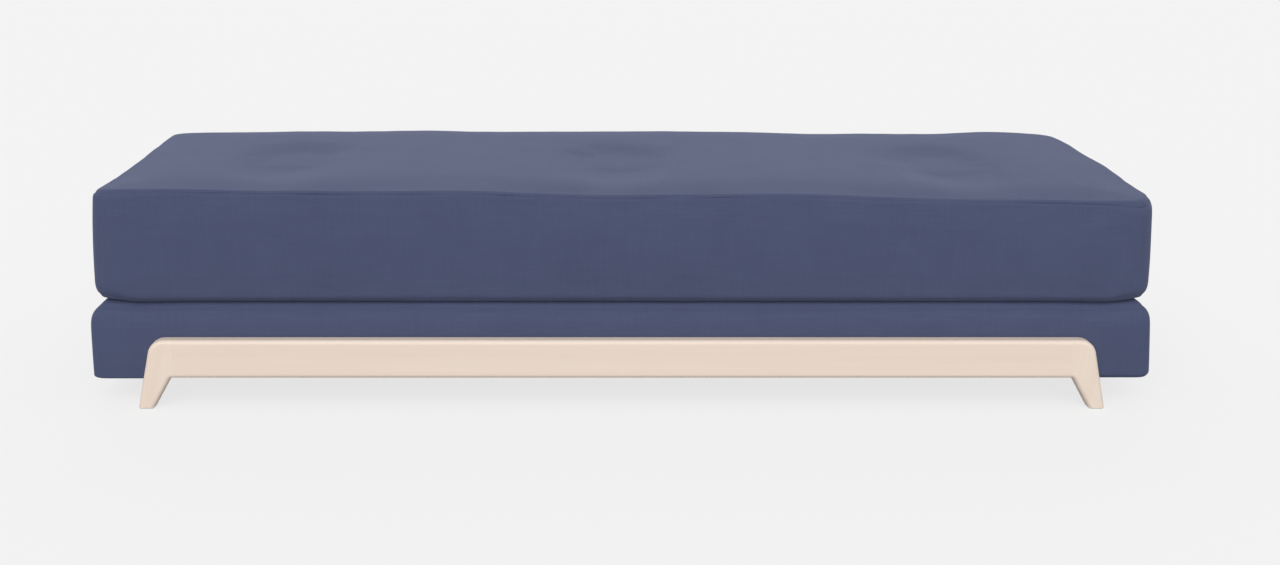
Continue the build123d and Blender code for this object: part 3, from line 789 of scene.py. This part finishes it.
def make_flap():
    """The flap as a thin closed strip, thicker at its hem, with a stitched line beside it."""
    middle = (flap_low.y + flap_high.y) / 2
    margins = (0, MM, HEM, HEM + STITCH_PAST_HEM, HEM + 2 * STITCH_PAST_HEM)
    inner = np.linspace(flap_low.y + FLAP_INNER, flap_high.y - FLAP_INNER, FLAP_ROWS)
    ys = np.array(sorted([*(flap_low.y + margin for margin in margins), *inner,
                          *(flap_high.y - margin for margin in margins)]))
    sharp, quads = box_cells(np.linspace(flap_low.x, flap_high.x, FLAP_COLUMNS), ys,
                             np.array([flap_low.z, flap_high.z]))
    points = sharp.copy()
    edge = np.minimum(sharp[:, 1] - flap_low.y, flap_high.y - sharp[:, 1])
    stitches = ridge(edge, HEM + STITCH_PAST_HEM, STITCH_WIDTH)
    thin = HEM_STEP * (smooth((edge - HEM) / MM) + stitches)
    thin = thin + FLAP_WAVE * (1 + wave_noise(sharp[:, 0], sharp[:, 1], 0, *FLAP_NOISE))
    points[:, 2] -= thin * np.isclose(sharp[:, 2], flap_high.z)
    narrow = FLAP_NARROWING * (1 + wave_noise(sharp[:, 0], 0, 0, *FLAP_EDGE_NOISE))
    points[:, 1] = middle + (points[:, 1] - middle) * (1 - narrow)
    return make_cloth("flap_cloth", points, quads)


flap = make_flap()
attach(flap, "flap")
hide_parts("fold_flap")


# Zip: its tape, and its closed coil as one row of interlocked teeth

TAPE_COLUMNS = 165
TAPE_LINES = [m * MM for m in (-10, -9, -6, -3, -2.2, 0, 2.2, 3, 6, 9, 10)]
TAPE_THICKNESS = 1 * MM
RIB_HEIGHT = 0.25 * MM
RIB_PLACE = 2.6 * MM
RIB_WIDTH = 0.5 * MM
TOOTH_PITCH = 1.6 * MM
# Each ring of a tooth's corners, in mm: its height, half width, and reach down and up
TOOTH_RINGS = ((0, 0.62, -1.5, 1.1), (1.1, 0.62, -1.5, 1.1), (1.5, 0.3, -1.2, 0.8))


def make_zip():
    """The zip's tape with a ribbed edge, and the teeth of its closed coil."""
    face = tape_low.y + TAPE_THICKNESS
    tape_points, tape_quads = box_cells(np.linspace(tape_low.x, tape_high.x, TAPE_COLUMNS),
                                        np.array([tape_low.y, face]),
                                        ZIP_Z + np.array(TAPE_LINES))
    rib = RIB_HEIGHT * ridge(abs(tape_points[:, 2] - ZIP_Z), RIB_PLACE, RIB_WIDTH)
    tape_points[:, 1] -= (RIB_HEIGHT - rib) * np.isclose(tape_points[:, 1], face)
    points = []
    quads = []
    for number in range(int((tape_high.x - tape_low.x) / TOOTH_PITCH)):
        middle = tape_low.x + TOOTH_PITCH * (number + 0.5)
        side = 1 if number % 2 else -1
        start = len(points)
        for height, half_width, low, high in np.array(TOOTH_RINGS) * MM:
            for across, along in ((-1, low), (1, low), (1, high), (-1, high)):
                points.append((middle + across * half_width, face + height, ZIP_Z + side * along))
        for ring in (start, start + 4):
            for corner in range(4):
                after = (corner + 1) % 4
                quads.append((ring + corner, ring + after,
                              ring + 4 + after, ring + 4 + corner)[::side])
        quads.append((start + 8, start + 9, start + 10, start + 11)[::side])
        quads.append((start + 3, start + 2, start + 1, start)[::side])
    tape = make_object("zip_band", tape_points, tape_quads, zip_cloth)
    teeth = make_object("zip_coil", points, quads, zip_teeth, smooth_faces=False)
    return tape, teeth


zip_band, zip_coil = make_zip()
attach(zip_band, "mattress")
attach(zip_coil, "mattress")
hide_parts("zip_tape")


# CAD nodes that stay, with their finishes

rail_wood = wood("rail_wood", WOOD_PALE, WOOD_DARK)
leg_wood = wood("leg_wood", WOOD_PALE, WOOD_DARK, LEG_SLOPE_DEG)
board = wood("board", (0.66, 0.52, 0.36), (0.55, 0.41, 0.27))
lining = plain("lining", (0.035, 0.035, 0.038), (0.055, 0.055, 0.06),
               0.95, (400, 400, 400), 0.15 * MM)
felt = plain("felt", (0.24, 0.235, 0.225), (0.3, 0.295, 0.28), 0.95, (300, 300, 300), 0.15 * MM)
plastic = plain("plastic", (0.035, 0.035, 0.037), (0.05, 0.05, 0.052), 0.45, (500, 500, 500))
glide = plain("glide", (0.62, 0.6, 0.56), (0.72, 0.7, 0.66), 0.5, (300, 300, 300))
steel = plain("steel", (0.5, 0.5, 0.5), (0.6, 0.6, 0.61),
              0.35, (800, 800, 800), 0.02 * MM, metallic=1.0)
enamel = plain("enamel", (0.03, 0.034, 0.05), (0.045, 0.05, 0.07),
               0.3, (700, 700, 700), 0.03 * MM, metallic=0.6)
SLOT_LOOKS = {
    "wood": rail_wood, "board": board, "slat": board, "tenon": board, "lining": lining,
    "felt": felt, "foam": felt, "wadding": felt, "tape": felt, "upholstery": upholstery,
    "glide": glide, "cap": plastic, "steel": steel, "zip_cloth": zip_cloth, "zip_metal": enamel,
}
NODE_LOOKS = {"front_legs": leg_wood, "rear_legs": leg_wood}
node_slots = {part["node"]: part["material_slot"] for part in frame["record"]["subparts"]}
for node_name, node in frame["nodes"].items():
    look = NODE_LOOKS.get(node_name) or SLOT_LOOKS[node_slots[node_name]]
    node.data.materials.clear()
    node.data.materials.append(look)


# Floor, light and camera

def seen_rays(tree):
    """1 for a ray from the camera, a reflection or glass, and 0 for other light."""
    path = tree.nodes.new("ShaderNodeLightPath")
    result = path.outputs["Is Camera Ray"]
    for kind in ("Is Glossy Ray", "Is Transmission Ray"):
        either = tree.nodes.new("ShaderNodeMath")
        either.operation = "MAXIMUM"
        tree.links.new(result, either.inputs[0])
        tree.links.new(path.outputs[kind], either.inputs[1])
        result = either.outputs[0]
    return result


def mixed(tree, other, seen):
    """One shader for what the camera sees, and another for the rest of the light."""
    mix = tree.nodes.new("ShaderNodeMixShader")
    tree.links.new(seen_rays(tree), mix.inputs[0])
    tree.links.new(other.outputs[0], mix.inputs[1])
    tree.links.new(seen.outputs[0], mix.inputs[2])
    return mix.outputs[0]


def make_floor():
    """A pale floor that keeps a faint soft shadow, as bright as the background where it is lit."""
    corners = [(-1, -1), (1, -1), (1, 1), (-1, 1)]
    mesh = bpy.data.meshes.new("floor")
    mesh.from_pydata([(FLOOR_HALF * x, FLOOR_HALF * y, 0) for x, y in corners], [], [(0, 1, 2, 3)])
    floor = bpy.data.objects.new("floor", mesh)
    bpy.context.scene.collection.objects.link(floor)
    material = bpy.data.materials.new("floor")
    material.use_nodes = True
    tree = material.node_tree
    tree.nodes.clear()
    from_suns = sum(strength * math.sin(math.radians(height))
                    for strength, height, _ in SUNS.values())
    lit = FLOOR_COLOUR * (SKY_LEVEL + from_suns / math.pi)
    glow = tree.nodes.new("ShaderNodeEmission")
    glow.inputs["Strength"].default_value = BACKGROUND_LEVEL - lit
    shaded = tree.nodes.new("ShaderNodeBsdfDiffuse")
    shaded.inputs["Color"].default_value = (FLOOR_COLOUR,) * 3 + (1,)
    seen = tree.nodes.new("ShaderNodeAddShader")
    tree.links.new(glow.outputs[0], seen.inputs[0])
    tree.links.new(shaded.outputs[0], seen.inputs[1])
    bounce = tree.nodes.new("ShaderNodeBsdfDiffuse")
    bounce.inputs["Color"].default_value = (FLOOR_BOUNCE,) * 3 + (1,)
    output = tree.nodes.new("ShaderNodeOutputMaterial")
    tree.links.new(mixed(tree, bounce, seen), output.inputs[0])
    mesh.materials.append(material)


def make_world():
    """An even sky that lights the object, and the plain background that the camera sees."""
    world = bpy.data.worlds.new("studio")
    bpy.context.scene.world = world
    world.use_nodes = True
    tree = world.node_tree
    tree.nodes.clear()
    sky = tree.nodes.new("ShaderNodeBackground")
    sky.inputs["Strength"].default_value = SKY_LEVEL
    sky.inputs["Color"].default_value = (1, 1, 1, 1)
    seen = tree.nodes.new("ShaderNodeBackground")
    seen.inputs["Strength"].default_value = BACKGROUND_LEVEL
    seen.inputs["Color"].default_value = (1, 1, 1, 1)
    output = tree.nodes.new("ShaderNodeOutputWorld")
    tree.links.new(mixed(tree, sky, seen), output.inputs[0])


def make_sun(name, strength, height_deg, turn_deg):
    """A wide soft sun at a height above the floor, turned from the front."""
    light = bpy.data.lights.new(name, "SUN")
    light.energy = strength
    light.angle = math.radians(SUN_SPREAD_DEG)
    obj = bpy.data.objects.new(name, light)
    obj.rotation_euler = (math.radians(90 - height_deg), 0, math.radians(turn_deg))
    bpy.context.scene.collection.objects.link(obj)


def make_camera():
    """The camera at the photograph's viewing angle."""
    data = bpy.data.cameras.new("camera")
    data.sensor_width = CAMERA_SENSOR
    data.lens = CAMERA_LENS
    data.shift_x, data.shift_y = CAMERA_SHIFT
    camera = bpy.data.objects.new("camera", data)
    camera.location = CAMERA_PLACE
    camera.rotation_euler = (math.radians(90 - CAMERA_PITCH_DEG), 0, 0)
    bpy.context.scene.collection.objects.link(camera)
    bpy.context.scene.camera = camera


make_floor()
make_world()
for sun_name, sun in SUNS.items():
    make_sun(sun_name, *sun)
make_camera()
bpy.context.scene.view_settings.view_transform = "Standard"
